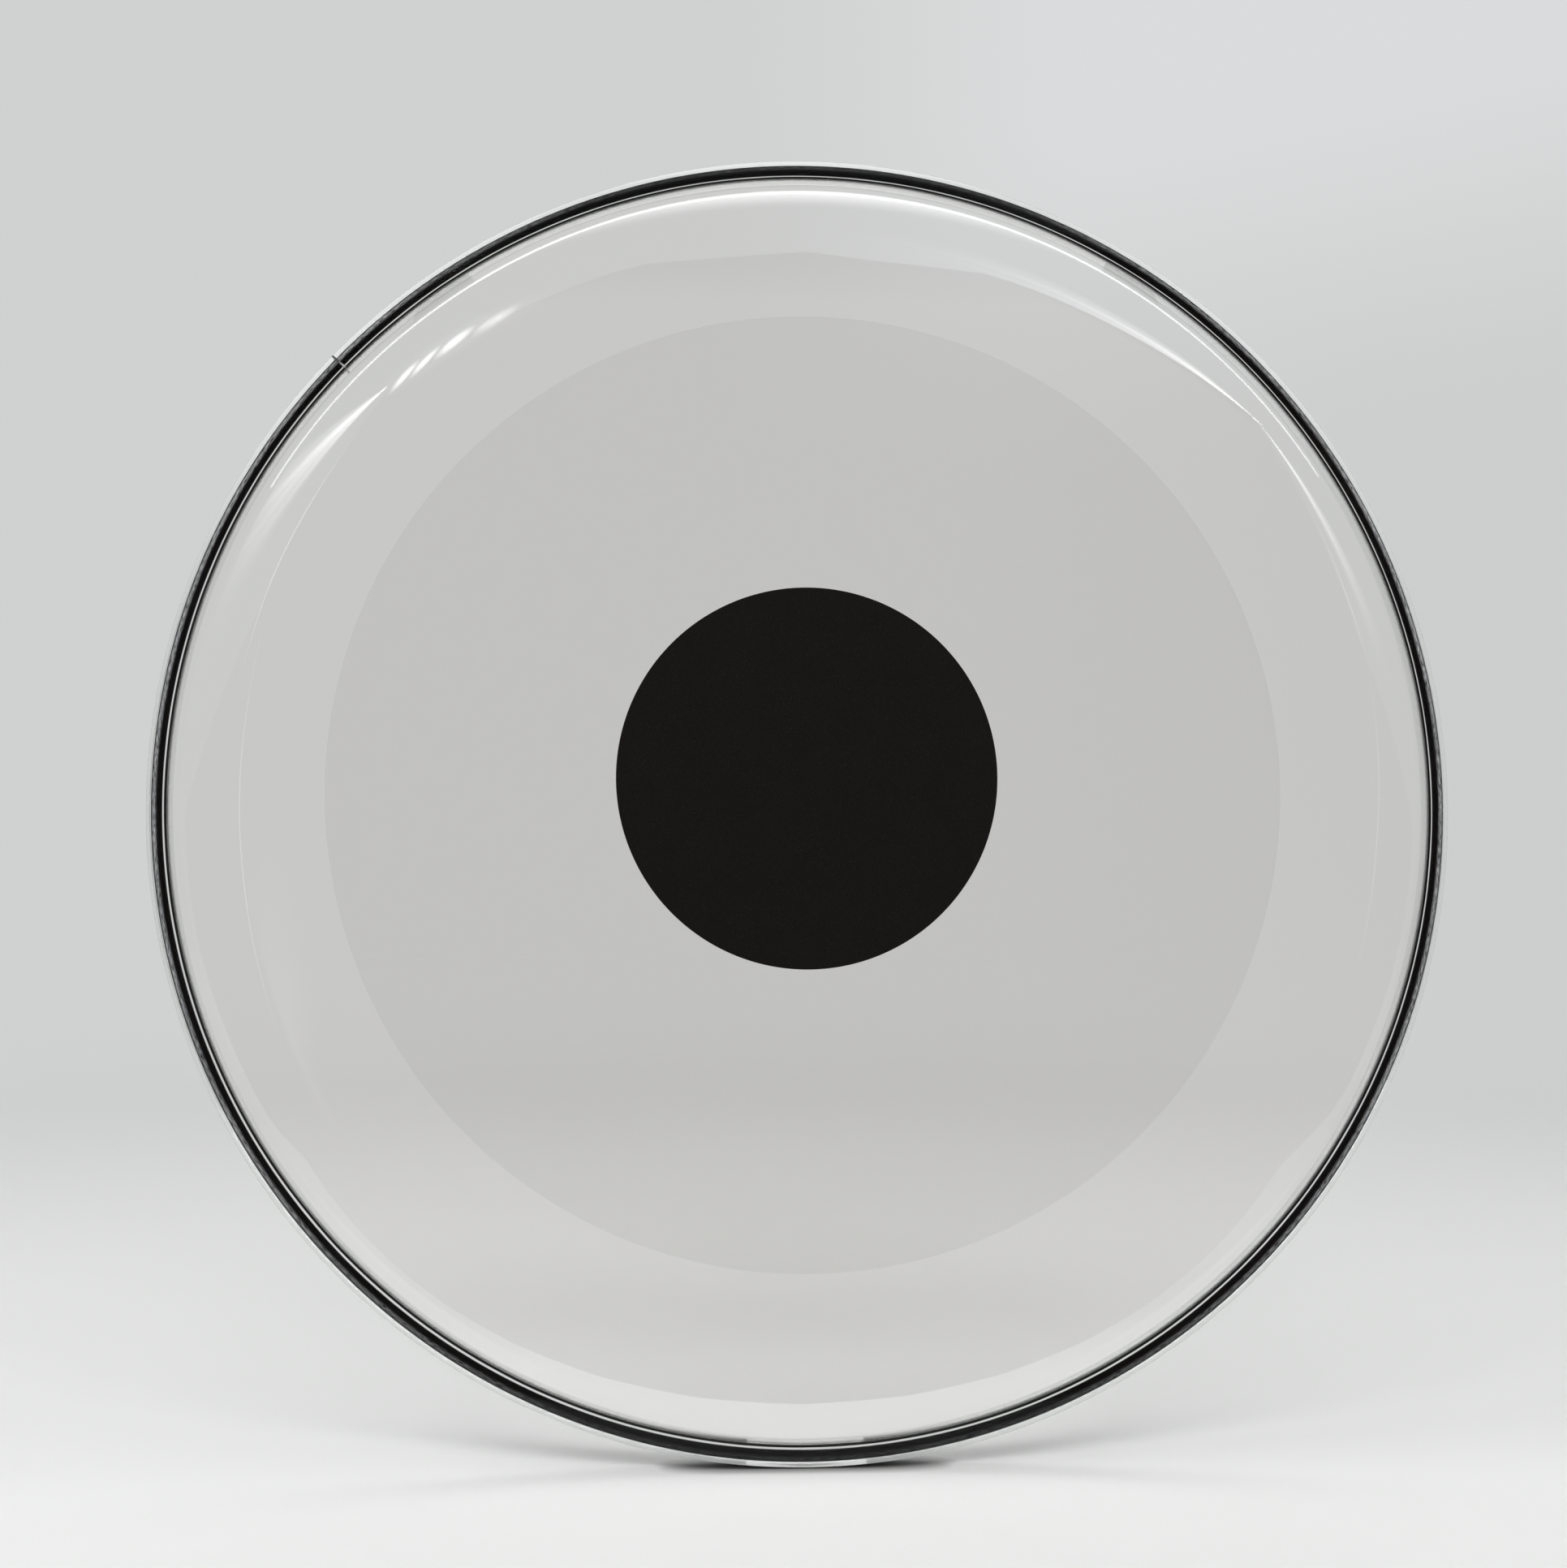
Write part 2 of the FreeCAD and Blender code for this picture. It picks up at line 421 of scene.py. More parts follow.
def smooth_step(value, low, high):
    """0 below low, 1 above high, with a smooth rise between them."""
    t = min(1.0, max(0.0, (value - low) / (high - low)))
    return t * t * (3 - 2 * t)


def round_noise(angle, waves, seed):
    """Smooth noise round the head, about -1 to 1, with about that many waves."""
    reach = waves / FULL_TURN
    return noise.noise(Vector((reach * math.cos(angle), reach * math.sin(angle), seed)))


def shaded(colour, share):
    """A colour made darker or lighter by a share."""
    return tuple(share * c for c in colour)


class Finish:
    """Node tree of one finish."""

    def __init__(self, name):
        self.material = bpy.data.materials.new(name)
        self.material.use_nodes = True
        self.tree = self.material.node_tree
        self.tree.nodes.clear()

    def add(self, kind, sockets=None, **options):
        """New node, with its options set and its sockets filled or linked."""
        node = self.tree.nodes.new("ShaderNode" + kind)
        for option, value in options.items():
            setattr(node, option, value)
        for socket, value in (sockets or {}).items():
            if isinstance(value, bpy.types.NodeSocket):
                self.tree.links.new(value, node.inputs[socket])
            else:
                node.inputs[socket].default_value = value
        return node

    def math(self, operation, *values):
        return self.add("Math", dict(enumerate(values)), operation=operation).outputs[0]

    def where(self, kind="Object"):
        return self.add("TexCoord").outputs[kind]

    def stretched(self, vector, scale):
        """Coordinates scaled by a different amount each way."""
        return self.add("Mapping", {"Vector": vector, "Scale": scale}).outputs[0]

    def axis_radius(self, place):
        """Distance from the head's axis."""
        across = self.add("SeparateXYZ", {0: place}).outputs
        squares = [self.math("POWER", across[axis], 2.0) for axis in "XZ"]
        return self.math("SQRT", self.math("ADD", *squares))

    def sideways(self, place):
        """How far to the head's side a place lies: 0 at the top and the foot, 1 at the sides."""
        across = self.math("ABSOLUTE", self.add("SeparateXYZ", {0: place}).outputs["X"])
        return self.math("DIVIDE", across, self.axis_radius(place))

    def grain(self, vector, scale, detail=3.0):
        return self.add("TexNoise", {"Vector": vector, "Scale": scale, "Detail": detail}).outputs["Fac"]

    def risen(self, value, low, high):
        """Smooth rise of a value from 0 at low to 1 at high."""
        return self.add("MapRange", {"Value": value, "From Min": low, "From Max": high},
                        interpolation_type="SMOOTHSTEP").outputs[0]

    def ranged(self, value, low, high, from_low=0.3, from_high=0.7):
        """Value spread from one range to another."""
        return self.add("MapRange", {"Value": value, "From Min": from_low, "From Max": from_high,
                                     "To Min": low, "To Max": high}).outputs[0]

    def blend(self, share, first, second):
        """Colour between two colours, of which the first may come from another blend."""
        node = self.add("Mix", {"Factor": share}, data_type="RGBA")
        low, high = [s for s in node.inputs if s.type == "RGBA"]
        if isinstance(first, bpy.types.NodeSocket):
            self.tree.links.new(first, low)
        else:
            low.default_value = (*first, 1.0)
        high.default_value = (*second, 1.0)
        return next(s for s in node.outputs if s.type == "RGBA")

    def bumped(self, height, distance, strength=1.0):
        return self.add("Bump", {"Height": height, "Distance": distance, "Strength": strength}).outputs[0]

    def mixed(self, share, first, second):
        """Shader between two shaders."""
        return self.add("MixShader", {0: share, 1: first.outputs[0], 2: second.outputs[0]})

    def summed(self, first, second):
        """Shader with the light of both shaders."""
        return self.add("AddShader", {0: first.outputs[0], 1: second.outputs[0]})

    def done(self, shader):
        self.add("OutputMaterial", {"Surface": shader.outputs[0]})
        return self.material


def clear_film_finish(name, mirror, tint):
    """Clear glossy film: each face throws back a little light, more at a glance, and lets the rest through.

    Where the film lies on the hoop it throws back next to nothing.
    """
    film = Finish(name)
    place = film.where()
    waves = film.bumped(film.grain(place, 30.0, detail=1.0), 0.0002, 0.1)
    haze = film.grain(place, 500.0)
    facing = film.add("LayerWeight", {"Blend": 0.5, "Normal": waves}).outputs["Facing"]
    share = film.math("MULTIPLY_ADD", film.math("POWER", facing, 5.0), 1 - mirror, mirror)
    free = film.ranged(film.axis_radius(place), 1.0, 0.1, HOOP_INNER, HOOP_INNER + HOOK_FADE)
    clear = film.add("BsdfTransparent", {"Color": (*tint, 1.0)})
    gloss = film.add("BsdfGlossy", {"Roughness": film.ranged(haze, 0.005, 0.02), "Normal": waves})
    return film.done(film.mixed(film.math("MULTIPLY", share, free), clear, gloss))


def clear_hoop_finish(tint, mirror, scatter, side_shade_scatter, shadow_share):
    """Clear extruded plastic with faint lengthwise draw lines, milky outside but less so at the head's sides
    as painted shade, that dims the lamps' light.
    """
    hoop = Finish("clear_hoop")
    lengthwise = hoop.where("UV")
    lines = hoop.grain(hoop.stretched(lengthwise, (6.0, 2500.0, 1.0)), 1.0, detail=2.0)
    glass = hoop.add("BsdfGlass", {
        "Color": (*tint, 1.0), "IOR": HOOP_INDEX,
        "Roughness": hoop.ranged(lines, 0.0, 0.02),
        "Normal": hoop.bumped(lines, 0.00002, 0.05)})
    coated = hoop.add("BsdfRefraction", {"Color": (*tint, 1.0), "IOR": HOOP_INDEX, "Roughness": 0.0})
    entering = hoop.math("SUBTRACT", 1.0, hoop.add("NewGeometry").outputs["Backfacing"])
    dulled = hoop.mixed(hoop.math("MULTIPLY", entering, 1 - mirror), glass, coated)
    place = hoop.where()
    outside = hoop.ranged(hoop.axis_radius(place), 0.0, 1.0, HOOP_OUTER - HOOK_FADE, HOOP_OUTER)
    # Milky share of the outside, made smaller at the head's sides as painted shade
    milky = hoop.ranged(hoop.sideways(place), scatter, side_shade_scatter, 0.8, 0.97)
    haze = hoop.add("BsdfTranslucent", {"Color": (*tint, 1.0)})
    scuffed = hoop.mixed(hoop.math("MULTIPLY", outside, milky), dulled, haze)
    through = hoop.add("BsdfTransparent", {"Color": (shadow_share, shadow_share, shadow_share, 1.0)})
    shadow = hoop.add("LightPath").outputs["Is Shadow Ray"]
    return hoop.done(hoop.mixed(shadow, scuffed, through))


def fibre_core_finish(colour, streak):
    """Black rod with fine fibres, and a painted highlight: a silvery speckled band on its outer half,
    strongest at the head's sides.
    """
    core = Finish("black_core")
    lengthwise = core.where("UV")
    place = core.where()
    fibres = core.grain(core.stretched(lengthwise, (500.0, 6000.0, 1.0)), 1.0, detail=4.0)
    patches = core.grain(core.stretched(lengthwise, (30.0, 400.0, 1.0)), 1.0)
    radius = core.axis_radius(place)
    # Painted highlight: lighter base colour on the rod's outer half, more at the head's sides, in place of
    # the side lamps' reflection
    outward = core.math("DIVIDE", core.math("SUBTRACT", radius, CORE_MIDDLE), CORE_RADIUS)
    inner_edge = core.ranged(outward, 0.0, 1.0, -0.25, 0.2)
    outer_edge = core.ranged(outward, 1.0, 0.0, 0.5, 0.8)
    painted_highlight_share = core.math("MULTIPLY", core.math("MULTIPLY", inner_edge, outer_edge),
                      core.ranged(core.sideways(place), 0.12, 1.0, 0.35, 0.9))
    speckle = core.math("MULTIPLY", core.ranged(fibres, 0.0, 1.0, 0.38, 0.62),
                        core.ranged(patches, 0.55, 1.0))
    shell = core.add("BsdfPrincipled", {
        "Base Color": core.blend(core.math("MULTIPLY", painted_highlight_share, speckle), colour, streak),
        "Roughness": core.ranged(fibres, 0.35, 0.55),
        "Specular IOR Level": 0.05,
        "Normal": core.bumped(fibres, 0.00003, 0.4)})
    return core.done(shell)


def satin_dot_finish(colour):
    """Satin black film with a fine tooth."""
    dot = Finish("black_dot")
    place = dot.where()
    tooth = dot.grain(place, 2500.0)
    lighter = shaded(colour, 2)
    shell = dot.add("BsdfPrincipled", {
        "Base Color": dot.blend(dot.grain(place, 90.0), colour, lighter),
        "Roughness": dot.ranged(tooth, 0.2, 0.3),
        "Specular IOR Level": 0.2,
        "Normal": dot.bumped(tooth, 0.00001, 0.2)})
    return dot.done(shell)


def bond_finish(colour):
    """Black adhesive with a soft gloss and fine bubbles."""
    bond = Finish("black_bond")
    bubbles = bond.grain(bond.where(), 1500.0)
    shell = bond.add("BsdfPrincipled", {
        "Base Color": bond.blend(bubbles, colour, shaded(colour, 2)),
        "Roughness": bond.ranged(bubbles, 0.4, 0.6),
        "Specular IOR Level": 0.2,
        "Normal": bond.bumped(bubbles, 0.00003, 0.2)})
    return bond.done(shell)


def joint_finish(colour):
    """Weld with fine bubbles, dark on its outer side and milky on its inner one, where the milky colour is
    also a painted glint.
    """
    joint = Finish("milky_joint")
    place = joint.where()
    bubbles = joint.grain(place, 3500.0)
    darker = shaded(colour, 0.05)
    # Milky towards the inner side, which also stands as a painted glint; dark towards the outer side
    outward = joint.ranged(joint.axis_radius(place), 0.0, 1.0, HOOP_INNER, CORE_MIDDLE)
    shade = joint.math("MAXIMUM", outward, joint.ranged(bubbles, 0.0, 1.0, 0.4, 0.6))
    shell = joint.add("BsdfPrincipled", {
        "Base Color": joint.blend(shade, colour, darker),
        "Roughness": joint.ranged(bubbles, 0.2, 0.45),
        "Normal": joint.bumped(bubbles, 0.00005, 0.5)})
    return joint.done(shell)


def sweep_finish(floor, wall, light, near, far):
    """Pale matt paper: lit as it lies near the head, with a painted contact shadow close under it, and even
    far behind it but for a painted lighter top right and a painted shade to the right.
    """
    paper = Finish("pale_paper")
    place = paper.where()
    mottle = paper.grain(place, 3.0)
    # Painted contact shadow: the floor's colour gets darker where the head covers the space just above it
    open_floor = paper.add("AmbientOcclusion", {"Distance": CONTACT_REACH}).outputs["AO"]
    painted_contact_shade = paper.math("SUBTRACT", 1.0, paper.math("POWER", open_floor, CONTACT_DEPTH))
    pale = paper.blend(mottle, floor, shaded(floor, 0.985))
    matt = paper.add("BsdfDiffuse", {"Color": paper.blend(painted_contact_shade, pale, shaded(floor, CONTACT_SHADE))})
    ways = paper.add("SeparateXYZ", {0: place}).outputs
    # Glowing wall with a painted shade to the right and a painted pool of light high on the right
    toned = paper.blend(paper.risen(ways["X"], *WALL_SHADE), wall, shaded(wall, 0.965))
    high = paper.math("MULTIPLY", paper.risen(ways["X"], *LIGHT_ACROSS), paper.risen(ways["Z"], *LIGHT_UP))
    even = paper.add("Emission", {"Color": paper.blend(high, toned, light)})
    distance = paper.add("VectorMath", {0: place}, operation="LENGTH").outputs["Value"]
    behind = paper.risen(distance, near, far)
    path = paper.add("LightPath").outputs
    seen = paper.math("MAXIMUM", path["Is Camera Ray"], path["Is Glossy Ray"])
    seen = paper.math("MAXIMUM", seen, path["Is Transmission Ray"])
    return paper.done(paper.mixed(paper.math("MULTIPLY", behind, seen), matt, even))


def dim_room_finish(colour):
    """Dim cloth, seen in the film's face, that gets dark towards its top edge."""
    room = Finish("dim_room")
    place = room.where()
    weave = room.grain(place, 40.0)
    light = room.ranged(room.add("SeparateXYZ", {0: place}).outputs["Z"], 1.0, 0.0, ROOM_DIM, ROOM_DARK)
    shade = room.blend(weave, colour, shaded(colour, 0.96))
    return room.done(room.add("Emission", {"Color": shade, "Strength": light}))


def ceiling_finish(colour):
    """Pale ceiling with a faint mottle."""
    ceiling = Finish("pale_ceiling")
    mottle = ceiling.grain(ceiling.where(), 2.0)
    shade = ceiling.blend(mottle, colour, shaded(colour, 0.97))
    return ceiling.done(ceiling.add("Emission", {"Color": shade}))


def spot_glow_finish(name, glow):
    """Glow of a round card, brightest in its middle, that adds to what lies behind it."""
    spot_card = Finish(name)
    away = spot_card.add("VectorMath", {0: spot_card.where()}, operation="LENGTH").outputs["Value"]
    fade = spot_card.risen(away, 1.0, 0.0)
    light = spot_card.add("Emission", {"Strength": spot_card.math("MULTIPLY", fade, glow)})
    return spot_card.done(spot_card.summed(spot_card.add("BsdfTransparent"), light))


def fan_glow_finish(glow):
    """Glow of a fan, brightest at its tip, in strands that part towards its wide end."""
    fan = Finish("fan_glow")
    ends = fan.add("SeparateXYZ", {0: fan.where()}).outputs
    across = fan.math("DIVIDE", ends["Z"], fan.math("MAXIMUM", ends["X"], 0.001))
    side = fan.math("POWER", fan.ranged(fan.math("ABSOLUTE", across), 1.0, 0.0, 0.0, 1.0), 1.5)
    along = fan.math("POWER", fan.ranged(ends["X"], 1.0, 0.0, 0.0, 1.0), 3.0)
    lines = fan.add("CombineXYZ", {"X": fan.math("MULTIPLY", across, 3.0), "Y": ends["X"]}).outputs[0]
    strands = fan.ranged(fan.grain(lines, 1.0), 0.2, 1.0)
    strength = fan.math("MULTIPLY", fan.math("MULTIPLY", side, along), fan.math("MULTIPLY", strands, glow))
    light = fan.add("Emission", {"Strength": strength})
    return fan.done(fan.summed(fan.add("BsdfTransparent"), light))


class DRUM_HEAD_OT_formed_film(bpy.types.Operator):
    """Build the clear film with its rolled edge, collar and hem"""
    bl_idname = "drum_head.formed_film"
    bl_label = "Formed film"

    def execute(self, context):
        size = sizes()

        def ripple(angle, radius, forward):
            rise = smooth_step(radius, RIPPLE_START, RIPPLE_FULL)
            fall = 1 - smooth_step(radius, RIPPLE_FADE, SEAT_RADIUS)
            return 0.0, size.ripple * rise * fall * round_noise(angle, RIPPLE_WAVES, RIPPLE_SEED)

        material = clear_film_finish("clear_film", finish().film_mirror, finish().film_tint)
        piece = turned_piece("formed_film", film_section(size), material, shift=ripple)
        place_piece(piece, "clear_film", "batter_film")
        return {"FINISHED"}


def collar_radius(size, forward):
    """Radius of the film's outer face beside the hoop, on the seat's wall or on the bend after it."""
    past_seat = max(0.0, forward - HOOP_BACK - size.back_corner - size.seat_length)
    bend = size.wall_bend - size.film_thickness / 2
    return SEAT_RADIUS + size.film_thickness - bend + math.sqrt(bend ** 2 - past_seat ** 2)


class DRUM_HEAD_OT_bond_bead(bpy.types.Operator):
    """Build the dark bead that bonds the film to the hoop"""
    bl_idname = "drum_head.bond_bead"
    bl_label = "Bond bead"

    def execute(self, context):
        size = sizes()
        gap = size.bond_clearance
        outer = HOOP_INNER - gap
        section = [(outer, BOND_BACK), (outer, BOND_FRONT)]
        section += [(collar_radius(size, forward) + gap, forward) for forward in (BOND_FRONT, BOND_BACK)]

        def uneven(angle, radius, forward):
            share = (BOND_FRONT - forward) / (BOND_FRONT - BOND_BACK)
            slow = round_noise(angle, BOND_SWELLS, SWELL_SEED)
            fast = round_noise(angle, BOND_WAVES, BOND_SEED) * smooth_step(slow, -0.1, 0.3)
            return 0.0, size.bond_wave * share * (slow + fast - 0.3)

        piece = turned_piece("bond_bead", section, bond_finish(finish().bond_colour), shift=uneven)
        place_piece(piece, "black_bond", "film_bond")
        return {"FINISHED"}


def hoop_turn(size):
    """Angles between which the hoop's bar runs, from one side of its joint round to the other."""
    half = size.joint_gap / CORE_MIDDLE / 2
    return size.joint_angle + half, size.joint_angle - half + FULL_TURN


def jacket_section(size):
    return rounded_box(HOOP_INNER, HOOP_OUTER, HOOP_BACK, HOOP_FRONT, size.back_corner, size.front_corner)


class DRUM_HEAD_OT_hoop_bar(bpy.types.Operator):
    """Build the clear bar of the hoop"""
    bl_idname = "drum_head.hoop_bar"
    bl_label = "Hoop bar"

    def execute(self, context):
        size = sizes()

        def wavy_wall(angle, radius, forward):
            share = 1 - smooth_step(radius, SEAT_RADIUS, CORE_MIDDLE - CORE_RADIUS)
            return size.wall_wave * share * (1 + round_noise(angle, BOND_WAVES, WALL_SEED)), 0.0

        gloss = finish()
        material = clear_hoop_finish(gloss.hoop_tint, gloss.hoop_mirror, gloss.hoop_scatter,
                                     gloss.side_shade_scatter, gloss.hoop_shadow)
        piece = turned_piece("hoop_bar", jacket_section(size), material, *hoop_turn(size), shift=wavy_wall)
        place_piece(piece, "clear_hoop", "hoop_jacket")
        return {"FINISHED"}


class DRUM_HEAD_OT_core_rod(bpy.types.Operator):
    """Build the black rod in the hoop"""
    bl_idname = "drum_head.core_rod"
    bl_label = "Core rod"

    def execute(self, context):
        section = arc_points((CORE_MIDDLE, CORE_FORWARD), CORE_RADIUS, 0, 345, 23)
        material = fibre_core_finish(finish().core_colour, finish().painted_highlight_colour)
        piece = turned_piece("core_rod", section, material, *hoop_turn(sizes()))
        place_piece(piece, "black_core", "hoop_core")
        return {"FINISHED"}


class DRUM_HEAD_OT_joint_weld(bpy.types.Operator):
    """Build the joint between the hoop's ends"""
    bl_idname = "drum_head.joint_weld"
    bl_label = "Joint weld"

    def execute(self, context):
        size = sizes()
        start, end = hoop_turn(size)
        piece = turned_piece("joint_weld", jacket_section(size), joint_finish(finish().joint_colour),
                             end - FULL_TURN, start, steps=4)
        place_piece(piece, "milky_joint", "hoop_joint")
        return {"FINISHED"}


def layer_section(radius, back, front, edge):
    """Half section of a flat round layer with rounded edges and a ring inside them that keeps it flat."""
    flat = radius - 4 * edge
    return [(0.0, back), (flat, back), *arc_points((radius - edge, back + edge), edge, -90, 0, 3),
            *arc_points((radius - edge, front - edge), edge, 0, 90, 3), (flat, front), (0.0, front)]


class DRUM_HEAD_OT_damping_film(bpy.types.Operator):
    """Build the clear disc behind the playing face"""
    bl_idname = "drum_head.damping_film"
    bl_label = "Damping film"

    def execute(self, context):
        size = sizes()
        front = FACE_FRONT - size.film_thickness - size.layer_gap
        section = layer_section(DISC_RADIUS, DISC_BACK, front, size.layer_edge)
        material = clear_film_finish("clear_disc", finish().disc_mirror, finish().disc_tint)
        piece = turned_piece("damping_film", section, material)
        place_piece(piece, "clear_film", "damping_disc", "damping_disc_adhesive")
        return {"FINISHED"}


class DRUM_HEAD_OT_dot_film(bpy.types.Operator):
    """Build the black dot in front of the playing face"""
    bl_idname = "drum_head.dot_film"
    bl_label = "Dot film"

    def execute(self, context):
        size = sizes()
        section = layer_section(DOT_RADIUS, FACE_FRONT + size.layer_gap, DOT_FRONT, size.layer_edge)
        piece = turned_piece("dot_film", section, satin_dot_finish(finish().dot_colour))
        place_piece(piece, "black_dot", "centre_dot", "centre_dot_adhesive")
        return {"FINISHED"}


def bowl(name, profile, material, steps=96):
    """Open round sweep from (radius, height) points."""
    builder = bmesh.new()
    rings = [[builder.verts.new((r * math.cos(a), r * math.sin(a), z)) for a in
              (FULL_TURN * i / steps for i in range(steps))] for r, z in profile[1:]]
    middle = builder.verts.new((0, 0, profile[0][1]))
    for i in range(steps):
        k = (i + 1) % steps
        builder.faces.new((middle, rings[0][i], rings[0][k]))
        for low, high in zip(rings, rings[1:]):
            builder.faces.new((low[i], high[i], high[k], low[k]))
    return finished_piece(name, builder, material)


def panel(name, corners, material):
    """Flat card with straight sides."""
    builder = bmesh.new()
    builder.faces.new([builder.verts.new(corner) for corner in corners])
    return finished_piece(name, builder, material)


def lamp(name, place, target, width, height, power):
    """Soft rectangular lamp that looks at a target."""
    light = bpy.data.lights.new(name, "AREA")
    light.shape = "RECTANGLE"
    light.size = width
    light.size_y = height
    light.energy = power
    holder = bpy.data.objects.new(name, light)
    bpy.context.scene.collection.objects.link(holder)
    holder.location = place
    holder.rotation_mode = "QUATERNION"
    holder.rotation_quaternion = (Vector(target) - Vector(place)).to_track_quat("-Z", "Y")
    holder.visible_camera = False
    return holder


# Dim room before the head: the plane of its cloth, how far it reaches on the ground, its edge as
# (across, height) points from the lower left corner on, and the heights between which it gets dark
ROOM_FORWARD = 0.5
ROOM_LEFT = -0.8
ROOM_RIGHT = 0.8
ROOM_EDGE = ((-0.345, 0.145), (-0.285, 0.325), (-0.15, 0.336), (-0.09, 0.345), (0.02, 0.3545),
             (0.125, 0.343), (0.405, 0.345), (0.43, 0.14))
ROOM_DIM = 0.322
ROOM_DARK = 0.36
# Cloth on the ground: its height over the floor, how far forward of the head it ends, how that end curves,
# and the half width and the steps of the curve
CLOTH_LIFT = 2 * MM
FLOOR_FRONT = 0.042
FLOOR_CURVE = 3.0
FLOOR_HALF = 0.25
FLOOR_STEPS = 16
# Ring that keeps the floor flat under the head
FLOOR_RING = 0.4
# Pale ceiling: its height and half width
CEILING_HEIGHT = 1.7
CEILING_HALF = 1.0
# Places and sizes of the lamps: the long one that shines in the film, and those that light the room
SHINE_LAMP = (0.0, -0.45, 0.75)
SHINE_SIZE = (2.4, 0.3)
FRONT_LAMP = (0.0, -0.9, 0.9)
LEFT_LAMP = (-0.9, -0.3, 0.7)
RIGHT_LAMP = (0.9, -0.3, 0.7)
BACK_LAMP = (0.0, 0.45, 0.9)
LONG_SIZE = (1.6, 0.3)
SIDE_SIZE = (0.6, 0.6)
# Even light from all round
ROOM_LIGHT = (0.62, 0.63, 0.63, 1.0)
ROOM_STRENGTH = 0.35
# Glowing cards: the sides of a round one, spots just inside the plane of the cloth as (across, height,
# half width, half height, lean to the right, share of the glow), and fans just outside it as (name, across
# and height of the tip, heading, half angle, reach)
SPOT_SIDES = 24
SPOT_FORWARD = 0.498
SPOTS = ((-0.274, 0.325, 0.014, 0.026, 0, 1.0), (-0.253, 0.329, 0.013, 0.026, 0, 1.0),
         (-0.226, 0.335, 0.02, 0.026, 0, 1.0), (-0.187, 0.336, 0.022, 0.026, 0, 1.0),
         (-0.225, 0.334, 0.1, 0.05, 0, 0.12), (-0.325, 0.19, 0.003, 0.12, 19, 0.4),
         (0.435, 0.18, 0.0025, 0.08, -8, 0.3), (0.0, 0.68, 0.7, 0.16, 0, 1.0),
         (-0.316, -0.01, 0.0025, 0.17, 0, 0.25), (0.424, 0.0, 0.0025, 0.16, 10, 0.2),
         (-0.28, -0.11, 0.022, 0.12, -8, 0.04))
FAN_FORWARD = 0.502
FANS = (("left_fan", -0.298, 0.33, 200, 28, 0.36), ("right_wedge", 0.424, 0.344, 177, 15, 0.48),
        ("right_fan", 0.416, 0.344, 298, 12, 0.3))
# Bright floor at the head's foot: half width, half depth, how far forward and how high it lies
FOOT_WIDTH = 0.3
FOOT_DEPTH = 0.09
FOOT_FORWARD = 0.03
FOOT_LIFT = 1 * MM
# Camera, with the frame's size, focal length and middle in pixels of the picture
FRAME_WIDTH = 1931
FRAME_HEIGHT = 1932
FOCAL_PIXELS = 1932.7
MIDDLE_PIXEL = (980.8, 815.7)
SENSOR_WIDTH = 36.0
CAMERA_PLACE = (-0.018, -0.4455, -0.0276)
CAMERA_PAN = math.radians(1.96)
CAMERA_TILT = math.radians(7.78)
CAMERA_NEAR = 0.01


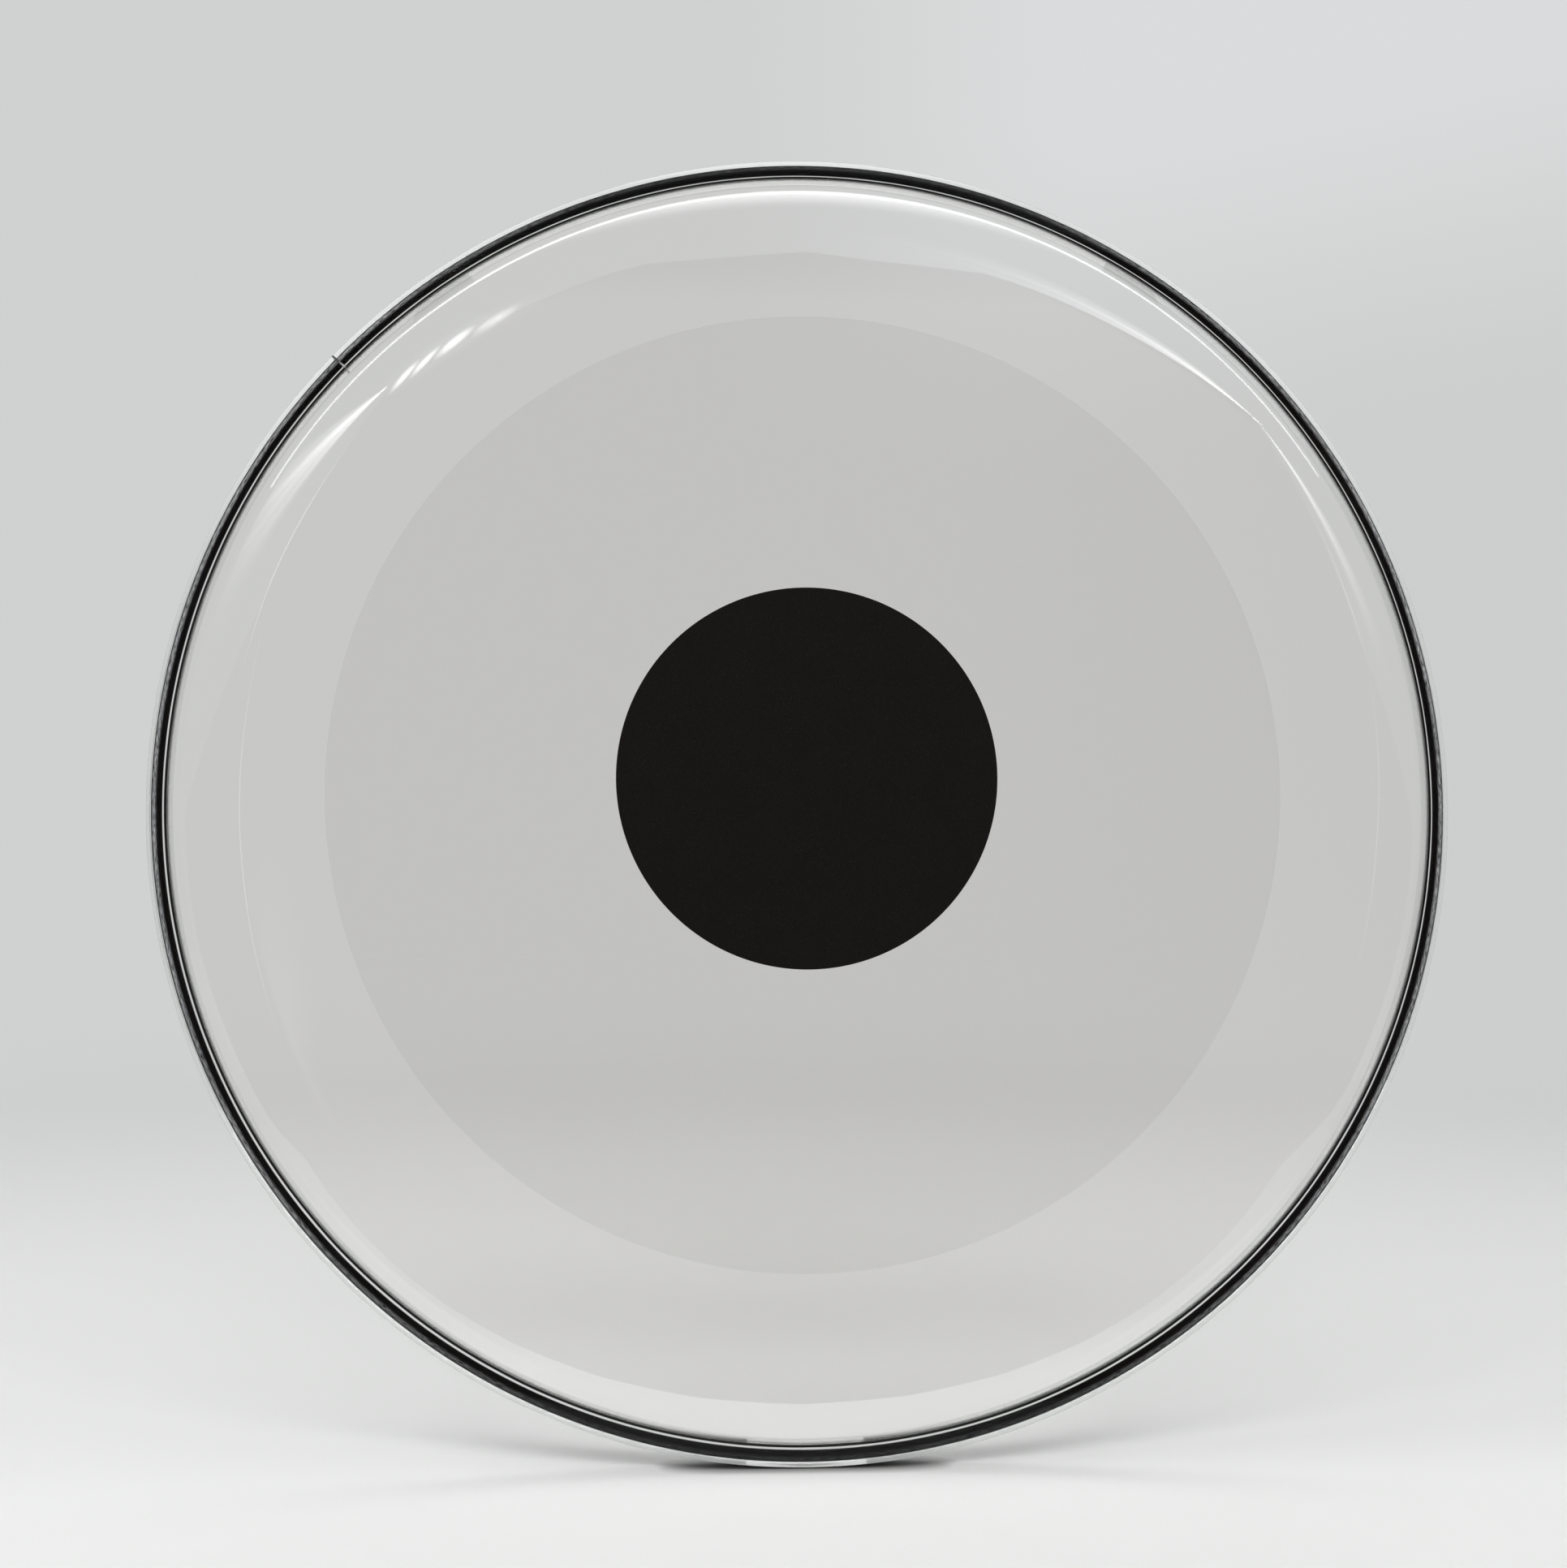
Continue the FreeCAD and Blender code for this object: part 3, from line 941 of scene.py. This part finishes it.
class DRUM_HEAD_OT_stage(bpy.types.Operator):
    """Build the floor, the lamps and the camera"""
    bl_idname = "drum_head.stage"
    bl_label = "Studio"

    def execute(self, context):
        self.sweep()
        self.dim_room()
        self.pale_ceiling()
        self.lamps()
        self.glowing_cards()
        self.surroundings()
        self.camera()
        context.scene.view_settings.view_transform = "Standard"
        return {"FINISHED"}

    def sweep(self):
        s = studio()
        profile = [(0.0, FLOOR_LEVEL), (FLOOR_RING, FLOOR_LEVEL)]
        profile += arc_points((s.floor_radius, FLOOR_LEVEL + s.sweep_radius), s.sweep_radius, -90, 0, 16)
        profile.append((s.floor_radius + s.sweep_radius, FLOOR_LEVEL + s.wall_height))
        paper = sweep_finish(s.floor_colour, s.wall_colour, s.wall_light, s.floor_near, s.floor_far)
        bowl("sweep", profile, paper)

    def dim_room(self):
        """Dim cloth across the front and on the ground before the floor, which only gloss shows."""
        cloth = dim_room_finish(studio().room_colour)
        ground = FLOOR_LEVEL + CLOTH_LIFT
        left, right = (ROOM_LEFT, -ROOM_FORWARD, ground), (ROOM_RIGHT, -ROOM_FORWARD, ground)
        edge = [(across, -ROOM_FORWARD, height) for across, height in ROOM_EDGE]
        self.show_in_gloss(panel("room_cloth", [right, left, *edge], cloth))
        steps = [FLOOR_HALF * (1 - 2 * i / FLOOR_STEPS) for i in range(FLOOR_STEPS + 1)]
        curve = [(across, -FLOOR_FRONT - FLOOR_CURVE * across ** 2, ground) for across in steps]
        self.show_in_gloss(panel("ground_cloth", [left, right, *curve], cloth))

    def pale_ceiling(self):
        """Ceiling that only gloss shows."""
        corners = [(across * CEILING_HALF, along * CEILING_HALF, CEILING_HEIGHT)
                   for across, along in ((-1, -1), (1, -1), (1, 1), (-1, 1))]
        self.show_in_gloss(panel("ceiling", corners, ceiling_finish(studio().ceiling_colour)))

    def lamps(self):
        """Long lamp that only gloss shows, and soft lamps that light the floor."""
        s = studio()
        under = Vector((0.0, 0.0, FLOOR_LEVEL))
        shine = lamp("shine_lamp", SHINE_LAMP, (*SHINE_LAMP[:2], 0.0), *SHINE_SIZE, s.shine_power)
        shine.visible_diffuse = False
        room = [lamp("front_lamp", FRONT_LAMP, under, *LONG_SIZE, s.front_power),
                lamp("left_lamp", LEFT_LAMP, under, *SIDE_SIZE, s.left_power),
                lamp("right_lamp", RIGHT_LAMP, under, *SIDE_SIZE, s.right_power),
                lamp("back_lamp", BACK_LAMP, under, *LONG_SIZE, s.back_power)]
        for each in room:
            each.visible_glossy = False
            each.visible_transmission = False

    def glowing_cards(self):
        """Spots and fans round the room's cloth, which only gloss shows."""
        s = studio()
        turns = [FULL_TURN * i / SPOT_SIDES for i in range(SPOT_SIDES)]
        disc = [(math.cos(turn), 0.0, math.sin(turn)) for turn in turns]
        for index, (across, height, half_width, half_height, lean, share) in enumerate(SPOTS):
            name = f"spot_{index}"
            card = panel(name, disc, spot_glow_finish(name, share * s.spot_glow))
            card.scale = (half_width, 1.0, half_height)
            self.set_card(card, (across, -SPOT_FORWARD, height), lean)
        foot = panel("foot_spot", disc, spot_glow_finish("foot_glow", s.foot_glow))
        foot.scale = (FOOT_WIDTH, 1.0, FOOT_DEPTH)
        foot.rotation_euler.x = math.radians(90)
        foot.location = (0.0, -FOOT_FORWARD, FLOOR_LEVEL + FOOT_LIFT)
        self.show_in_gloss(foot)
        fan_light = fan_glow_finish(s.fan_glow)
        for name, across, height, heading, half_angle, reach in FANS:
            card = panel(name, [(0.0, 0.0, 0.0), (1.0, 0.0, -1.0), (1.0, 0.0, 1.0)], fan_light)
            card.scale = (reach, 1.0, reach * math.tan(math.radians(half_angle)))
            self.set_card(card, (across, -FAN_FORWARD, height), -heading)

    def set_card(self, card, place, turn):
        card.location = place
        card.rotation_euler.y = math.radians(turn)
        self.show_in_gloss(card)

    def show_in_gloss(self, card):
        """Leaves a card of the studio to be seen in glossy faces alone."""
        card.visible_camera = False
        card.visible_diffuse = False
        card.visible_transmission = False
        card.visible_shadow = False

    def surroundings(self):
        world = bpy.data.worlds.new("pale_room")
        world.use_nodes = True
        background = world.node_tree.nodes["Background"]
        background.inputs["Color"].default_value = ROOM_LIGHT
        background.inputs["Strength"].default_value = ROOM_STRENGTH
        bpy.context.scene.world = world

    def camera(self):
        data = bpy.data.cameras.new("camera")
        data.sensor_fit = "HORIZONTAL"
        data.sensor_width = SENSOR_WIDTH
        data.lens = FOCAL_PIXELS * SENSOR_WIDTH / FRAME_WIDTH
        data.shift_x = (FRAME_WIDTH / 2 - MIDDLE_PIXEL[0]) / FRAME_WIDTH
        data.shift_y = (MIDDLE_PIXEL[1] - FRAME_HEIGHT / 2) / FRAME_WIDTH
        data.clip_start = CAMERA_NEAR
        holder = bpy.data.objects.new("camera", data)
        bpy.context.scene.collection.objects.link(holder)
        ahead = Vector((math.sin(CAMERA_PAN) * math.cos(CAMERA_TILT),
                        math.cos(CAMERA_PAN) * math.cos(CAMERA_TILT), math.sin(CAMERA_TILT)))
        right = Vector((math.cos(CAMERA_PAN), -math.sin(CAMERA_PAN), 0.0))
        axes = Matrix((right, right.cross(ahead), -ahead)).transposed()
        holder.matrix_world = Matrix.Translation(CAMERA_PLACE) @ axes.to_4x4()
        bpy.context.scene.camera = holder


OPERATORS = (DRUM_HEAD_OT_formed_film, DRUM_HEAD_OT_bond_bead, DRUM_HEAD_OT_hoop_bar, DRUM_HEAD_OT_core_rod,
             DRUM_HEAD_OT_joint_weld, DRUM_HEAD_OT_damping_film, DRUM_HEAD_OT_dot_film, DRUM_HEAD_OT_stage)
SETTINGS = {"drum_head_sizes": HeadSizes, "drum_head_finish": HeadFinish,
            "drum_head_studio": StudioSettings}


class DRUM_HEAD_PT_panel(bpy.types.Panel):
    """Pieces and settings of the drum head"""
    bl_idname = "DRUM_HEAD_PT_panel"
    bl_label = "Drum head"
    bl_space_type = "VIEW_3D"
    bl_region_type = "UI"
    bl_category = "Drum head"

    def draw(self, context):
        for operator in OPERATORS:
            self.layout.operator(operator.bl_idname)
        for name, group in SETTINGS.items():
            box = self.layout.box()
            for prop in group.__annotations__:
                box.prop(getattr(context.scene, name), prop)


def register():
    for group in SETTINGS.values():
        bpy.utils.register_class(group)
    for each in (*OPERATORS, DRUM_HEAD_PT_panel):
        bpy.utils.register_class(each)
    for name, group in SETTINGS.items():
        setattr(bpy.types.Scene, name, PointerProperty(type=group))


def unregister():
    for name in SETTINGS:
        delattr(bpy.types.Scene, name)
    for each in (DRUM_HEAD_PT_panel, *reversed(OPERATORS), *SETTINGS.values()):
        bpy.utils.unregister_class(each)


def main():
    register()
    bpy.ops.drum_head.formed_film()
    bpy.ops.drum_head.bond_bead()
    bpy.ops.drum_head.hoop_bar()
    bpy.ops.drum_head.core_rod()
    bpy.ops.drum_head.joint_weld()
    bpy.ops.drum_head.damping_film()
    bpy.ops.drum_head.dot_film()
    bpy.ops.drum_head.stage()


if __name__ == "__main__":
    main()
